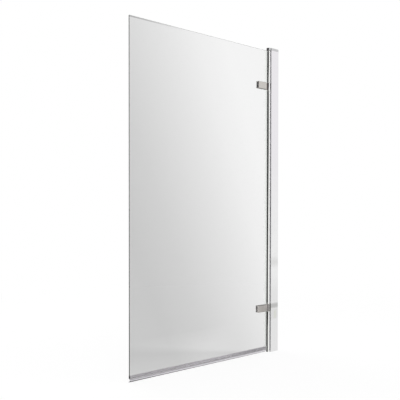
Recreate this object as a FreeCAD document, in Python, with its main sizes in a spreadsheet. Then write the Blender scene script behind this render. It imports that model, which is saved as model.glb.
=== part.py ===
import FreeCAD, Part
import os
import Sketcher

# Pivoting bath screen. Origin: wall face, middle of the channel's depth, at the bath rim.
# +Z up, wall at +X, the panel reaches to -X, the bathroom side is -Y and the bath +Y.

# Driving sizes in millimetres: alias, value, meaning.
SIZES = (
    ("panel_reach", 800.0, "wall face to the free edge of the glass"),
    ("overall_height", 1400.0, "bath rim to the top of the end cap"),
    ("glass_thickness", 6.0, "toughened panel"),
    ("glass_top_gap", 2.0, "glass below the underside of the end cap"),
    ("glass_post_gap", 8.0, "hinge edge of the glass to the round nose"),
    ("glass_arris", 0.5, "polished chamfer round the glass"),
    ("channel_depth", 28.0, "outside, front to back"),
    ("channel_reach", 47.0, "wall face to the mouth of the channel"),
    ("channel_wall", 1.6, "side walls"),
    ("channel_web", 2.0, "web against the wall"),
    ("channel_rounding", 0.8, "outer corners at the mouth"),
    ("channel_groove_width", 3.0, "sealant grooves in the wall face"),
    ("channel_groove_depth", 0.6, "sealant grooves in the wall face"),
    ("channel_groove_offset", 7.5, "middle of a groove from the middle of the web"),
    ("wall_hole_bore", 5.0, "clearance holes for the wall screws"),
    ("wall_hole_inset", 150.0, "end of the channel to the first wall hole"),
    ("cap_height", 12.0, "end cap above the channel"),
    ("cap_wall", 2.0, "roof and sides of the end cap"),
    ("cap_bevel", 1.2, "upper rim of the end cap"),
    ("cap_overhang", 2.5, "end cap beyond the round nose"),
    ("tongue_length", 10.0, "tongues of the cap, along the reach"),
    ("tongue_drop", 12.0, "tongues of the cap below its rim"),
    ("tongue_wall", 1.5, "tongues of the cap"),
    ("tongue_fit", 0.1, "tongues inside the channel"),
    ("pivot_offset", 4.5, "mouth of the channel to the pivot axis"),
    ("nose_radius", 8.5, "round nose of the post"),
    ("nose_bore", 12.0, "bore of the round nose"),
    ("post_face", 2.0, "web of the post behind its nose"),
    ("post_wall", 1.5, "legs of the post"),
    ("post_tail", 33.0, "post inside the channel"),
    ("post_lip", 2.5, "inward lips at the ends of the legs"),
    ("rib_width", 8.0, "screw rib inside the bath-side leg"),
    ("rib_depth", 4.0, "screw rib, with the leg"),
    ("slide_gap", 0.3, "post to channel and cap"),
    ("slide_travel", 10.0, "adjustment of the post out of the channel"),
    ("adjust_inset", 260.0, "end of the channel to the first adjusting screw"),
    ("adjust_place", 20.0, "wall face to the adjusting screws"),
    ("adjust_thread", 4.0, "adjusting screws"),
    ("adjust_length", 8.0, "adjusting screws under the head"),
    ("adjust_head", 9.0, "pan heads of the adjusting screws, width"),
    ("adjust_head_height", 2.4, "pan heads of the adjusting screws, height"),
    ("recess_reach", 5.0, "cross recess of the adjusting screws, tip to tip"),
    ("recess_width", 1.2, "cross recess of the adjusting screws"),
    ("recess_depth", 1.4, "cross recess of the adjusting screws"),
    ("lower_hinge_height", 205.0, "bath rim to the middle of the lower hinge"),
    ("upper_hinge_drop", 177.0, "top of the cap to the middle of the upper hinge"),
    ("barrel_height", 33.0, "hinge barrel"),
    ("thrust_gap", 0.1, "barrel to the flanges of its bushes"),
    ("pin_width", 6.0, "pivot pins"),
    ("pin_fit", 0.05, "radial fit of pin in barrel and bushes"),
    ("pin_end_gap", 0.5, "pin to the end of its upper bush"),
    ("bush_flange", 1.0, "thickness of the thrust flanges"),
    ("bush_length", 12.0, "bush inside the nose"),
    ("bush_floor", 2.0, "closed end of the bottom bushes"),
    ("bush_fit", 0.05, "radial fit of bush in nose"),
    ("bush_rim", 0.3, "flange inside the surface of the nose"),
    ("plate_gap", 23.5, "pivot axis to the near ends of the clamp plates"),
    ("plate_length", 50.0, "clamp plates along the glass"),
    ("plate_height", 31.0, "clamp plates and neck"),
    ("plate_thickness", 6.0, "clamp plates"),
    ("plate_corner", 2.0, "corners of the clamp plates"),
    ("plate_bevel", 0.9, "outer rim of the clamp plates"),
    ("boss_length", 12.0, "boss that passes through the notch in the glass"),
    ("boss_gap", 0.4, "boss to the back plate"),
    ("neck_thickness", 7.0, "neck between boss and barrel"),
    ("neck_blend", 2.0, "hollow fillets where the neck meets the barrel"),
    ("gasket_thickness", 1.0, "rubber between plate and glass"),
    ("gasket_margin", 1.0, "rubber inside the outline of the plate"),
    ("notch_gap", 1.5, "notch in the glass round the boss"),
    ("notch_corner", 4.0, "inner corners of the notch"),
    ("clamp_inset", 18.0, "far end of the plates to the clamp screw in the glass"),
    ("clamp_thread", 5.0, "clamp screws"),
    ("clamp_head", 8.5, "heads of the clamp screws, width"),
    ("clamp_head_height", 3.0, "heads of the clamp screws, height"),
    ("clamp_head_sink", 0.3, "heads of the clamp screws below the face of the back plate"),
    ("clamp_socket", 4.0, "hexagon socket across flats"),
    ("clamp_socket_depth", 1.8, "hexagon socket"),
    ("clamp_tip_gap", 0.5, "tip of the clamp screw to the end of its hole"),
    ("clamp_fit", 0.1, "radial fit of clamp screws in their holes"),
    ("front_skin", 1.2, "metal left before the blind holes"),
    ("glass_hole", 10.0, "hole in the glass for the far clamp screw of each hinge"),
    ("collar_fit", 0.1, "radial fit of the gasket's collars in the glass and on the screws"),
    ("seal_fit", 0.1, "seals on the glass"),
    ("seal_gap", 0.3, "bulb of the side seal to the nose"),
    ("seal_end_gap", 1.0, "seals to the hinges and to each other"),
    ("side_seal_grip", 11.0, "legs of the side seal on the glass"),
    ("side_seal_wall", 1.0, "legs and floor of the side seal"),
    ("bulb_wall", 0.8, "bulb of the side seal"),
    ("bottom_seal_wall", 1.2, "legs and blade of the bottom seal"),
    ("bottom_seal_floor", 2.0, "floor of the bottom seal"),
    ("bottom_seal_grip", 10.5, "legs of the bottom seal on the glass"),
    ("blade_drop", 12.3, "floor of the bottom seal to the foot of its blade"),
    ("blade_bend", 6.3, "outer radius at the foot of the blade"),
    ("blade_foot", 2.5, "flat foot of the blade"),
    ("rim_gap", 2.2, "foot of the blade above the bath rim"),
)
WALL_HOLES = 3
ADJUST_SCREWS = 2

Y_AXIS = FreeCAD.Vector(0, 1, 0)
Z_AXIS = FreeCAD.Vector(0, 0, 1)
NEAR = 0.01


class Size:
    """A length held both as an expression of the sheet and as its present value."""

    def __init__(self, text, number):
        self.text = text
        self.number = number

    def __float__(self):
        return self.number

    def __neg__(self):
        return Size("(-1 * %s)" % self.text, -self.number)

    def __add__(self, other):
        other = as_size(other)
        return Size("(%s + %s)" % (self.text, other.text), self.number + other.number)

    def __sub__(self, other):
        other = as_size(other)
        return Size("(%s - %s)" % (self.text, other.text), self.number - other.number)

    def __mul__(self, factor):
        return Size("(%s * %r)" % (self.text, factor), self.number * factor)

    def __truediv__(self, factor):
        return Size("(%s / %r)" % (self.text, factor), self.number / factor)


def as_size(value):
    return value if isinstance(value, Size) else Size(repr(float(value)), float(value))


class Sheet:
    """The spreadsheet of driving sizes; each alias is an attribute that holds a Size."""

    def __init__(self, doc, rows):
        cells = doc.addObject("Spreadsheet::Sheet", "Sizes")
        for row, (alias, value, meaning) in enumerate(rows, start=1):
            cells.set("A%d" % row, alias)
            cells.set("B%d" % row, str(value))
            cells.set("C%d" % row, meaning)
            cells.setAlias("B%d" % row, alias)
            setattr(self, alias, Size("Sizes." + alias, value))
        doc.recompute()


doc = FreeCAD.newDocument("BathScreen")
size = Sheet(doc, SIZES)
nodes = []

# Places worked out from the driving sizes.
pivot_x = -(size.channel_reach + size.pivot_offset)
channel_top = size.overall_height - size.cap_height
channel_half = size.channel_depth / 2
channel_inner = channel_half - size.channel_wall
post_half = channel_inner - size.slide_gap
post_end = -(size.channel_reach - size.post_tail)
post_top = channel_top - size.slide_gap
glass_half = size.glass_thickness / 2
glass_edge = pivot_x - size.nose_radius - size.glass_post_gap
glass_top = channel_top - size.glass_top_gap
glass_foot = size.rim_gap + size.blade_drop + size.bottom_seal_floor
plate_inner = glass_half + size.gasket_thickness
plate_outer = plate_inner + size.plate_thickness
hinge_notch = size.barrel_height + (size.bush_flange + size.thrust_gap) * 2
hinge_heights = {
    "lower": size.lower_hinge_height,
    "upper": size.overall_height - size.upper_hinge_drop,
}
notch_half = size.plate_height / 2 + size.notch_gap
glass_screw = -(size.plate_gap + size.plate_length - size.clamp_inset)
boss_screw = -(size.plate_gap + size.boss_length / 2)
clamp_bearing = plate_outer - size.clamp_head_height - size.clamp_head_sink


def spread(inset, count):
    """Heights of fixings spread evenly along the channel."""
    step = (channel_top - inset * 2) / (count - 1)
    return [inset + step * index for index in range(count)]


# Drawing helpers.
def bind(item, prop, value):
    item.setExpression(prop, as_size(value).text)


def seat(item, x=0, y=0, z=0):
    """Move a finished item so that its own origin stands at a place of the screen."""
    bind(item, "Placement.Base.x", x)
    bind(item, "Placement.Base.y", y)
    bind(item, "Placement.Base.z", z)
    return item


def new_body(name):
    body = doc.addObject("PartDesign::Body", name)
    body.Label = name
    nodes.append(body)
    return body


def new_sketch(body, role, offset):
    """Sketch on an origin plane of the body, moved along the normal of that plane."""
    plane = next(item for item in body.Origin.OriginFeatures if item.Role == role)
    sketch = body.newObject("Sketcher::SketchObject", "Sketch")
    sketch.AttachmentSupport = [(plane, "")]
    sketch.MapMode = "FlatFace"
    bind(sketch, "AttachmentOffset.Base.z", offset)
    return sketch


def fix_value(sketch, constraint, value):
    index = sketch.addConstraint(constraint)
    if isinstance(value, Size):
        bind(sketch, "Constraints[%d]" % index, value)


def fix_point(sketch, shape, vertex, place):
    for direction, value in zip(("DistanceX", "DistanceY"), place):
        constraint = Sketcher.Constraint(direction, -1, 1, shape, vertex, float(value))
        fix_value(sketch, constraint, value)


def arc_between(start, end, radius):
    """Minor arc from start to end; a positive radius turns left, a negative one right."""
    chord = end - start
    reach = (radius ** 2 - (chord.Length / 2) ** 2) ** 0.5
    side = FreeCAD.Vector(-chord.y, chord.x, 0).normalize() * (reach if radius > 0 else -reach)
    centre = (start + end) / 2 + side
    middle = centre - side.normalize() * abs(radius)
    return Part.Arc(start, middle, end)


def draw_outline(sketch, corners):
    """Close a loop through corners; a third value is the radius of the arc that ends there."""
    ends = []
    for index, corner in enumerate(corners):
        before = corners[index - 1]
        start = FreeCAD.Vector(float(before[0]), float(before[1]), 0)
        end = FreeCAD.Vector(float(corner[0]), float(corner[1]), 0)
        if len(corner) == 2:
            shape = sketch.addGeometry(Part.LineSegment(start, end), False)
            ends.append((shape, 1, 2))
            continue
        shape = sketch.addGeometry(arc_between(start, end, float(corner[2])), False)
        fix_value(sketch, Sketcher.Constraint("Radius", shape, abs(float(corner[2]))),
                  corner[2] if float(corner[2]) > 0 else -corner[2])
        ends.append((shape, 1, 2) if float(corner[2]) > 0 else (shape, 2, 1))
    for index, corner in enumerate(corners):
        shape, _, finish = ends[index]
        following, begin, _ = ends[(index + 1) % len(corners)]
        sketch.addConstraint(Sketcher.Constraint("Coincident", shape, finish, following, begin))
        fix_point(sketch, shape, finish, corner[:2])


def draw_box(sketch, left, right, low, high):
    draw_outline(sketch, [(left, low), (right, low), (right, high), (left, high)])


def draw_circle(sketch, x, y, radius):
    circle = Part.Circle(FreeCAD.Vector(float(x), float(y), 0), Z_AXIS, float(radius))
    shape = sketch.addGeometry(circle, False)
    fix_point(sketch, shape, 3, (x, y))
    fix_value(sketch, Sketcher.Constraint("Radius", shape, float(radius)), radius)


def extrude(body, sketch, length, kind="Pad"):
    """Pad or pocket along the normal of the sketch."""
    feature = body.newObject("PartDesign::" + kind, kind)
    feature.Profile = sketch
    feature.Reversed = kind == "Pocket"
    bind(feature, "Length", length)
    doc.recompute()
    return feature


def dress(body, kind, amount, chosen):
    """Fillet or chamfer the edges of the body that the test picks."""
    base = body.Tip
    edges = ["Edge%d" % number for number, edge in enumerate(base.Shape.Edges, start=1)
             if chosen(edge)]
    feature = body.newObject("PartDesign::" + kind, kind)
    feature.Base = (base, edges)
    bind(feature, "Radius" if kind == "Fillet" else "Size", amount)
    doc.recompute()
    return feature


def straight(edge, axis):
    is_line = edge.Curve.TypeId == "Part::GeomLine"
    return is_line and abs(abs(edge.tangentAt(edge.FirstParameter).dot(axis)) - 1) < NEAR


def at(value, place):
    return abs(value - float(place)) < NEAR


def in_plane(edge, axis, place):
    """Whether the whole edge lies at one height along an axis."""
    box = edge.BoundBox
    low = FreeCAD.Vector(box.XMin, box.YMin, box.ZMin).dot(axis)
    high = FreeCAD.Vector(box.XMax, box.YMax, box.ZMax).dot(axis)
    return abs(low - float(place)) < NEAR and abs(high - float(place)) < NEAR


def cylinder(radius, length, along=Z_AXIS):
    item = doc.addObject("Part::Cylinder", "Cylinder")
    bind(item, "Radius", radius)
    bind(item, "Height", length)
    item.Placement.Rotation = FreeCAD.Rotation(Z_AXIS, along)
    return item


def fused(*items):
    union = doc.addObject("Part::MultiFuse", "Union")
    union.Shapes = items
    return union


def bored(base, tool):
    cut = doc.addObject("Part::Cut", "Cut")
    cut.Base = base
    cut.Tool = tool
    return cut


def finished(item, name):
    item.Label = name
    nodes.append(item)
    return item


def group(name, items):
    """Several equal fasteners in one node, each a solid of its own."""
    compound = doc.addObject("Part::Compound", name)
    compound.Links = items
    return finished(compound, name)


# Fixed pieces: the channel on the wall and its end cap.
def wall_channel():
    body = new_body("wall_channel")
    mouth = -size.channel_reach
    web = -size.channel_web
    sketch = new_sketch(body, "XY_Plane", 0)
    draw_outline(sketch, [
        (0, -channel_half), (0, channel_half), (mouth, channel_half), (mouth, channel_inner),
        (web, channel_inner), (web, -channel_inner), (mouth, -channel_inner),
        (mouth, -channel_half)])
    extrude(body, sketch, channel_top)

    grooves = new_sketch(body, "XY_Plane", 0)
    for side in (-1, 1):
        middle = size.channel_groove_offset * side
        draw_box(grooves, -size.channel_groove_depth, 0,
                 middle - size.channel_groove_width / 2, middle + size.channel_groove_width / 2)
    extrude(body, grooves, channel_top, "Pocket")

    holes = new_sketch(body, "YZ_Plane", web * 2)
    for height in spread(size.wall_hole_inset, WALL_HOLES):
        draw_circle(holes, 0, height, size.wall_hole_bore / 2)
    extrude(body, holes, size.channel_web * 2, "Pocket")

    slots = new_sketch(body, "XZ_Plane", -channel_half)
    half = size.adjust_thread / 2 + size.slide_gap
    near = -size.adjust_place
    far = near - size.slide_travel
    for height in spread(size.adjust_inset, ADJUST_SCREWS):
        draw_outline(slots, [
            (near, height - half), (near + half, height, half), (near, height + half, half),
            (far, height + half), (far - half, height, half), (far, height - half, half)])
    extrude(body, slots, size.channel_wall, "Pocket")

    dress(body, "Fillet", size.channel_rounding, lambda edge: straight(edge, Z_AXIS)
          and at(edge.BoundBox.XMin, mouth) and at(abs(edge.BoundBox.YMin), channel_half))


def top_cap():
    body = new_body("top_cap")
    nose = size.nose_radius + size.cap_overhang
    mouth = -size.channel_reach
    base = new_sketch(body, "XY_Plane", channel_top)
    draw_outline(base, [
        (0, -channel_half), (0, channel_half), (mouth, channel_half), (mouth, nose),
        (pivot_x, nose), (pivot_x - nose, 0, nose), (pivot_x, -nose, nose), (mouth, -nose),
        (mouth, -channel_half)])
    extrude(body, base, size.cap_height)

    hollow = new_sketch(body, "XY_Plane", channel_top)
    bore = nose - size.cap_wall
    side = channel_half - size.cap_wall
    step = mouth + size.cap_wall
    draw_outline(hollow, [
        (-size.cap_wall, -side), (-size.cap_wall, side), (step, side), (step, bore),
        (pivot_x, bore), (pivot_x - bore, 0, bore), (pivot_x, -bore, bore), (step, -bore),
        (step, -side)])
    extrude(body, hollow, size.cap_height - size.cap_wall, "Pocket")

    tongues = new_sketch(body, "XY_Plane", channel_top - size.tongue_drop)
    root = -(size.channel_web + size.tongue_fit)
    outer = channel_inner - size.tongue_fit
    for low, high in ((outer - size.tongue_wall, outer), (-outer, size.tongue_wall - outer)):
        draw_box(tongues, root - size.tongue_length, root, low, high)
    extrude(body, tongues, size.tongue_drop + size.cap_height - size.cap_wall)

    dress(body, "Chamfer", size.cap_bevel,
          lambda edge: in_plane(edge, Z_AXIS, size.overall_height))


# Sliding pieces: the post with its round nose, its screws and the hinge pins.
def hinge_post():
    body = new_body("hinge_post")
    mouth = -size.channel_reach
    inner = post_half - size.post_wall
    lip = inner - size.post_lip
    rib = post_half - size.rib_depth
    rib_near = -size.adjust_place + size.rib_width / 2
    rib_far = -size.adjust_place - size.rib_width / 2
    lip_start = post_end - size.post_wall
    web = mouth + size.post_face
    length = post_top - size.slide_gap

    profile = new_sketch(body, "XY_Plane", size.slide_gap)
    draw_outline(profile, [
        (post_end, post_half), (mouth, post_half), (mouth, -post_half), (post_end, -post_half),
        (post_end, -lip), (lip_start, -lip), (lip_start, -inner), (web, -inner), (web, inner),
        (rib_far, inner), (rib_far, rib), (rib_near, rib), (rib_near, inner),
        (lip_start, inner), (lip_start, lip), (post_end, lip)])
    extrude(body, profile, length)

    nose = new_sketch(body, "XY_Plane", size.slide_gap)
    draw_circle(nose, pivot_x, 0, size.nose_radius)
    extrude(body, nose, length)
    bore = new_sketch(body, "XY_Plane", size.slide_gap)
    draw_circle(bore, pivot_x, 0, size.nose_bore / 2)
    extrude(body, bore, length, "Pocket")

    # Notches in the nose take the hinge barrels and leave room for the necks to swing.
    for height in hinge_heights.values():
        notch = new_sketch(body, "XY_Plane", height - hinge_notch / 2)
        back = pivot_x + size.nose_radius + size.slide_gap
        draw_box(notch, pivot_x - size.nose_radius * 2, back, -channel_half, channel_half)
        extrude(body, notch, hinge_notch, "Pocket")

    holes = new_sketch(body, "XZ_Plane", -post_half)
    for height in spread(size.adjust_inset, ADJUST_SCREWS):
        draw_circle(holes, -size.adjust_place, height, size.adjust_thread / 2 + size.clamp_fit)
    extrude(body, holes, size.rib_depth, "Pocket")


def adjust_screws():
    """Pan-head screws that hold the post at its reach, seen from the bath."""
    screws = []
    for height in spread(size.adjust_inset, ADJUST_SCREWS):
        shank = cylinder(size.adjust_thread / 2, size.adjust_length, -Y_AXIS)
        head = cylinder(size.adjust_head / 2, size.adjust_head_height, Y_AXIS)
        bars = []
        for width, depth in ((size.recess_reach, size.recess_width),
                             (size.recess_width, size.recess_reach)):
            bar = doc.addObject("Part::Box", "Bar")
            bind(bar, "Length", width)
            bind(bar, "Width", size.recess_depth)
            bind(bar, "Height", depth)
            bars.append(seat(bar, -width / 2, size.adjust_head_height - size.recess_depth,
                             -depth / 2))
        screw = bored(fused(shank, head), fused(*bars))
        screws.append(seat(screw, -size.adjust_place, channel_half + size.slide_gap, height))
    group("adjust_screws", screws)


def pivot_pins():
    """Pins from the closed ends of the bottom bushes up into the top bushes."""
    length = hinge_notch + size.bush_length * 2 - size.bush_floor - size.pin_end_gap
    pins = []
    for height in hinge_heights.values():
        foot = height - hinge_notch / 2 - size.bush_length + size.bush_floor
        pins.append(seat(cylinder(size.pin_width / 2, length), pivot_x, 0, foot))
    group("pivot_pins", pins)


def bushes(end):
    """Flanged bushes pressed into the nose; the bottom ones are closed and carry the pins."""
    side = 1 if end == "top" else -1
    outward = Z_AXIS * side
    depth = size.bush_length + size.bush_flange
    if end == "bottom":
        depth = depth - size.bush_floor
    pair = []
    for height in hinge_heights.values():
        flange = cylinder(size.nose_radius - size.bush_rim, size.bush_flange, -outward)
        barrel = cylinder(size.nose_bore / 2 - size.bush_fit, size.bush_length, outward)
        bore = cylinder(size.pin_width / 2 + size.pin_fit, depth, outward)
        seat(bore, 0, 0, size.bush_flange * -side)
        bush = bored(fused(flange, barrel), bore)
        pair.append(seat(bush, pivot_x, 0, height + hinge_notch / 2 * side))
    group(end + "_bushes", pair)


# Swinging pieces: the hinge castings and their clamps, drawn about the pivot axis.
def draw_plate(sketch):
    draw_box(sketch, -(size.plate_gap + size.plate_length), -size.plate_gap,
             -size.plate_height / 2, size.plate_height / 2)


def finish_plate(body, face):
    """Round the far corners of a clamp plate and bevel the rim of its outer face."""
    far = -(size.plate_gap + size.plate_length)
    dress(body, "Fillet", size.plate_corner,
          lambda edge: straight(edge, Y_AXIS) and at(edge.BoundBox.XMin, far))
    dress(body, "Chamfer", size.plate_bevel, lambda edge: in_plane(edge, Y_AXIS, face))


def hinge_leaf(level):
    """Casting of front plate, boss through the glass, neck and barrel."""
    body = new_body(level + "_leaf")
    half = size.plate_height / 2
    near = -size.plate_gap
    back = plate_inner - size.boss_gap

    plate = new_sketch(body, "XZ_Plane", plate_inner)
    draw_plate(plate)
    extrude(body, plate, size.plate_thickness)
    finish_plate(body, -plate_outer)
    boss = new_sketch(body, "XZ_Plane", -back)
    draw_box(boss, near - size.boss_length, near, -half, half)
    extrude(body, boss, back + plate_inner)
    holes = new_sketch(body, "XZ_Plane", -back)
    for place in (glass_screw, boss_screw):
        draw_circle(holes, place, 0, size.clamp_thread / 2 + size.clamp_fit)
    extrude(body, holes, back + plate_outer - size.front_skin, "Pocket")

    neck = new_sketch(body, "XZ_Plane", -size.neck_thickness / 2)
    draw_box(neck, near, 0, -half, half)
    extrude(body, neck, size.neck_thickness)
    barrel = new_sketch(body, "XY_Plane", -size.barrel_height / 2)
    draw_circle(barrel, 0, 0, size.nose_radius)
    extrude(body, barrel, size.barrel_height)
    bore = new_sketch(body, "XY_Plane", -size.barrel_height / 2)
    draw_circle(bore, 0, 0, size.pin_width / 2 + size.pin_fit)
    extrude(body, bore, size.barrel_height, "Pocket")

    meeting = (size.nose_radius.number ** 2 - (size.neck_thickness.number / 2) ** 2) ** 0.5
    dress(body, "Fillet", size.neck_blend, lambda edge: straight(edge, Z_AXIS)
          and at(edge.BoundBox.XMin, -meeting))
    seat(body, pivot_x, 0, hinge_heights[level])


def back_plate(level):
    body = new_body(level + "_back_plate")
    plate = new_sketch(body, "XZ_Plane", -plate_outer)
    draw_plate(plate)
    extrude(body, plate, size.plate_thickness)
    finish_plate(body, plate_outer)
    for width, depth in ((size.clamp_thread, size.plate_thickness),
                         (size.clamp_head, plate_outer - clamp_bearing)):
        holes = new_sketch(body, "XZ_Plane", -plate_outer)
        for place in (glass_screw, boss_screw):
            draw_circle(holes, place, 0, width / 2 + size.clamp_fit)
        extrude(body, holes, depth, "Pocket")
    seat(body, pivot_x, 0, hinge_heights[level])


def gasket(level, side):
    """Rubber under a clamp plate; the back one has a collar that lines the hole in the glass."""
    body = new_body("%s_%s_gasket" % (level, side))
    half = size.plate_height / 2 - size.gasket_margin
    left = -(size.plate_gap + size.plate_length - size.gasket_margin)
    right = -(size.plate_gap + size.boss_length + size.gasket_margin)
    start = glass_half if side == "front" else -plate_inner
    sheet = new_sketch(body, "XZ_Plane", start)
    draw_box(sheet, left, right, -half, half)
    extrude(body, sheet, size.gasket_thickness)
    length = size.gasket_thickness
    if side == "back":
        length = length + size.glass_thickness
        collar = new_sketch(body, "XZ_Plane", start)
        draw_circle(collar, glass_screw, 0, size.glass_hole / 2 - size.collar_fit)
        extrude(body, collar, length)
    hole = new_sketch(body, "XZ_Plane", start)
    draw_circle(hole, glass_screw, 0, size.clamp_thread / 2 + size.collar_fit)
    extrude(body, hole, length, "Pocket")
    seat(body, pivot_x, 0, hinge_heights[level])


def clamp_screws():
    """Socket screws from the bath side into the front plates, two at each hinge."""
    length = clamp_bearing + plate_outer - size.front_skin - size.clamp_tip_gap
    screws = []
    for height in hinge_heights.values():
        for place in (glass_screw, boss_screw):
            shank = cylinder(size.clamp_thread / 2, length, -Y_AXIS)
            head = cylinder(size.clamp_head / 2, size.clamp_head_height, Y_AXIS)
            socket = doc.addObject("Part::Prism", "Socket")
            socket.Polygon = 6
            bind(socket, "Circumradius", size.clamp_socket / 3 ** 0.5)
            bind(socket, "Height", size.clamp_socket_depth)
            socket.Placement.Rotation = FreeCAD.Rotation(Z_AXIS, -Y_AXIS)
            seat(socket, 0, size.clamp_head_height, 0)
            screw = bored(fused(shank, head), socket)
            screws.append(seat(screw, pivot_x + place, clamp_bearing, height))
    group("clamp_screws", screws)


def glass_panel():
    """Panel with a rounded notch and a hole at each hinge, and a polished arris."""
    body = new_body("glass_panel")
    free = -size.panel_reach
    notch = pivot_x - size.plate_gap - size.boss_length - size.notch_gap
    corners = [(free, glass_top), (free, glass_foot), (glass_edge, glass_foot)]
    for height in hinge_heights.values():
        low = height - notch_half
        high = height + notch_half
        corners += [(glass_edge, low), (notch, low), (notch, high), (glass_edge, high)]
    corners.append((glass_edge, glass_top))
    sheet = new_sketch(body, "XZ_Plane", -glass_half)
    draw_outline(sheet, corners)
    for height in hinge_heights.values():
        draw_circle(sheet, pivot_x + glass_screw, height, size.glass_hole / 2)
    extrude(body, sheet, size.glass_thickness)
    dress(body, "Fillet", size.notch_corner,
          lambda edge: straight(edge, Y_AXIS) and at(edge.BoundBox.XMin, notch))
    dress(body, "Chamfer", size.glass_arris, lambda edge: (
        in_plane(edge, Y_AXIS, glass_half) or in_plane(edge, Y_AXIS, -glass_half))
        and not (edge.isClosed() and edge.Curve.TypeId == "Part::GeomCircle"))


def side_seal(name, low, high):
    """Clear channel on the hinge edge of the glass with a hollow bulb towards the nose."""
    body = new_body(name)
    inner = glass_half + size.seal_fit
    outer = inner + size.side_seal_wall
    floor = glass_edge + size.seal_fit
    back = floor + size.side_seal_wall
    grip = glass_edge - size.side_seal_grip
    bulb = (size.glass_post_gap - size.seal_fit - size.side_seal_wall - size.seal_gap) / 2
    profile = new_sketch(body, "XY_Plane", low)
    draw_outline(profile, [
        (grip, outer), (grip, inner), (floor, inner), (floor, -inner), (grip, -inner),
        (grip, -outer), (back, -outer), (back, outer)])
    extrude(body, profile, high - low)
    # The bulb starts inside the floor so that the two make one section.
    overlap = size.side_seal_wall / 4
    tube = new_sketch(body, "XY_Plane", low)
    draw_circle(tube, back + bulb - overlap / 2, 0, bulb + overlap / 2)
    extrude(body, tube, high - low)
    hollow = new_sketch(body, "XY_Plane", low)
    draw_circle(hollow, back + bulb, 0, bulb - size.bulb_wall)
    extrude(body, hollow, high - low, "Pocket")


def side_seals():
    """Three lengths that stop short of the hinges and of the bottom seal."""
    reach = size.plate_height / 2 + size.seal_end_gap
    lower = hinge_heights["lower"]
    upper = hinge_heights["upper"]
    side_seal("side_seal_bottom", glass_foot + size.bottom_seal_grip + size.seal_end_gap,
              lower - reach)
    side_seal("side_seal_middle", lower + reach, upper - reach)
    side_seal("side_seal_top", upper + reach, glass_top)


def bottom_seal():
    """Clear channel under the glass whose blade drops at the front and turns to the bath."""
    body = new_body("bottom_seal")
    inner = glass_half + size.seal_fit
    outer = inner + size.bottom_seal_wall
    top = glass_foot + size.bottom_seal_grip
    under = glass_foot - size.bottom_seal_floor
    bend = size.rim_gap + size.blade_bend
    sole = size.rim_gap + size.bottom_seal_wall
    turn = size.blade_bend - outer
    tip = turn + size.blade_foot
    profile = new_sketch(body, "YZ_Plane", -size.panel_reach)
    draw_outline(profile, [
        (-outer, bend), (turn, size.rim_gap, size.blade_bend), (tip, size.rim_gap),
        (tip, sole), (turn, sole), (-inner, bend, size.bottom_seal_wall - size.blade_bend),
        (-inner, under), (outer, under), (outer, top), (inner, top), (inner, glass_foot),
        (-inner, glass_foot), (-inner, top), (-outer, top)])
    extrude(body, profile, glass_edge + size.panel_reach)


def check_model():
    for item in doc.Objects:
        if "Invalid" in item.State or "Error" in item.State:
            raise RuntimeError("%s failed to recompute" % item.Label)
    for node in nodes:
        if node.Shape.isNull() or not node.Shape.isValid():
            raise RuntimeError("%s has no valid shape" % node.Label)


def write_parts():
    os.makedirs("parts", exist_ok=True)
    for node in nodes:
        node.Shape.exportStep("parts/%s.step" % node.Label)


wall_channel()
top_cap()
hinge_post()
adjust_screws()
pivot_pins()
for bush_end in ("top", "bottom"):
    bushes(bush_end)
for hinge in hinge_heights:
    hinge_leaf(hinge)
    back_plate(hinge)
    for gasket_side in ("front", "back"):
        gasket(hinge, gasket_side)
clamp_screws()
glass_panel()
side_seals()
bottom_seal()

doc.recompute()
check_model()
write_parts()
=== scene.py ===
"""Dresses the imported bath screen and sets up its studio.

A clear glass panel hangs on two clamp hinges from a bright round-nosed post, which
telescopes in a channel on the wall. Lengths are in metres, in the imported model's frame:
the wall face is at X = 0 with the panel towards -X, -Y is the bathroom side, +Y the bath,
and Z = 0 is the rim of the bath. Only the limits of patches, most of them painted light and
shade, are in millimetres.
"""

import logging
import math
from contextlib import contextmanager
from dataclasses import dataclass, replace
from enum import Enum
from typing import Any, Callable, ClassVar, Iterator, Sequence

import bmesh
import bpy
from mathutils import Matrix, Vector


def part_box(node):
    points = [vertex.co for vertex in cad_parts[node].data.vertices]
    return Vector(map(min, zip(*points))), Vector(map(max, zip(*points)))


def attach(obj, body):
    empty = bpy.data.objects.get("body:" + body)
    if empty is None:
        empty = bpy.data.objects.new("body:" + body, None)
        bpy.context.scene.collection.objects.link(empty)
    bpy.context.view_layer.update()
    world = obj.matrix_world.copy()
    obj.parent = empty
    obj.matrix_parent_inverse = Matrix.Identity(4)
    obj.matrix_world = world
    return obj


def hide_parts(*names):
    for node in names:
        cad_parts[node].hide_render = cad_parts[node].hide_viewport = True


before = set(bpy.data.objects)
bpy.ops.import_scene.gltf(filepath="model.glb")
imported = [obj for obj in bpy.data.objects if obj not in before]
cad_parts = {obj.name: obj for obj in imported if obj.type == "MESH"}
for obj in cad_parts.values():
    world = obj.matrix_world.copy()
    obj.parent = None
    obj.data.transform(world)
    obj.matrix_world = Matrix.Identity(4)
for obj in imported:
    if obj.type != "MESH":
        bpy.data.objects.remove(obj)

Colour = tuple[float, float, float]
Place = tuple[float, float, float]
Span = tuple[float, float]
Material = bpy.types.Material
Piece = bpy.types.Object
Socket = bpy.types.NodeSocket
Tree = bpy.types.NodeTree
EdgeTest = Callable[[Vector, Vector], bool]

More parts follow.
